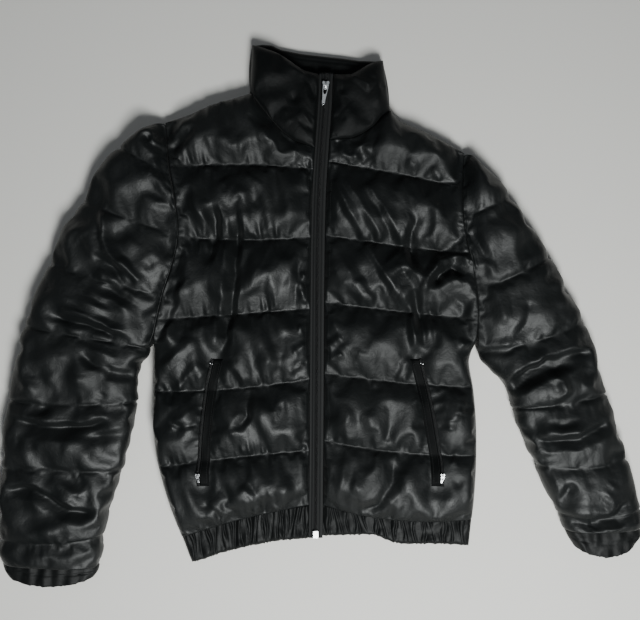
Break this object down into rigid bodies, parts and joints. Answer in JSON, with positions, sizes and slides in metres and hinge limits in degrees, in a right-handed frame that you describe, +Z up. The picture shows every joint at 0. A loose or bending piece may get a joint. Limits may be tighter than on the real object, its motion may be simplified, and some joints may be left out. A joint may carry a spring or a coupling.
{
  "type": "puffer jacket",
  "caption": "Short black padded jacket laid flat, front up: quilted in wide channels, stand collar, full front zip, zipped hand pockets, gathered hem and cuffs.",
  "frame": {"origin": "middle of the base of the whole part's box, on the surface that it lies on", "axes": "+X to the viewer's right, towards the wearer's left sleeve, +Y towards the collar, +Z up from the surface to the front of the jacket"},
  "size_m": [0.9002, 0.7608, 0.0571],
  "materials": {
    "shell": "semi-gloss coated nylon, fine plain weave, wrinkled",
    "tape": "matt woven zip tape and moulded coil",
    "zip_metal": "polished plated zinc"
  },
  "bodies": {
    "jacket": {"back_panel": "shell", "front_right": "shell", "front_left": "shell", "sleeve_right": "shell", "sleeve_left": "shell", "cuff_right": "shell", "cuff_left": "shell", "hem_front_right": "shell", "hem_front_left": "shell", "hem_back": "shell", "collar_back": "shell", "collar_front_right": "shell", "collar_front_left": "shell", "pocket_welt_right": "shell", "pocket_welt_left": "shell", "zip_tape_right": "tape", "zip_tape_left": "tape", "zip_chain": "tape", "pocket_chain_right": "tape", "pocket_chain_left": "tape", "zip_box": "zip_metal", "zip_slider": "zip_metal", "pocket_slider_right": "zip_metal", "pocket_slider_left": "zip_metal"},
    "front_pull": {"zip_pull": "zip_metal"},
    "right_pocket_pull": {"pocket_pull_right": "zip_metal"},
    "left_pocket_pull": {"pocket_pull_left": "zip_metal"}
  },
  "joints": [
    {"name": "front_pull_swing", "type": "hinge", "parent": "jacket", "child": "front_pull", "pos_m": [0.00764, 0.3154, 0.03658], "axis": [-0.9903, 0.1392, 0], "range_deg": [0, 150]},
    {"name": "right_pocket_pull_swing", "type": "hinge", "parent": "jacket", "child": "right_pocket_pull", "pos_m": [-0.16966, -0.22581, 0.04334], "axis": [-0.9703, -0.2419, 0], "range_deg": [0, 150]},
    {"name": "left_pocket_pull_swing", "type": "hinge", "parent": "jacket", "child": "left_pocket_pull", "pos_m": [0.16868, -0.22568, 0.04504], "axis": [-0.9703, 0.2419, 0], "range_deg": [0, 150]}
  ]
}
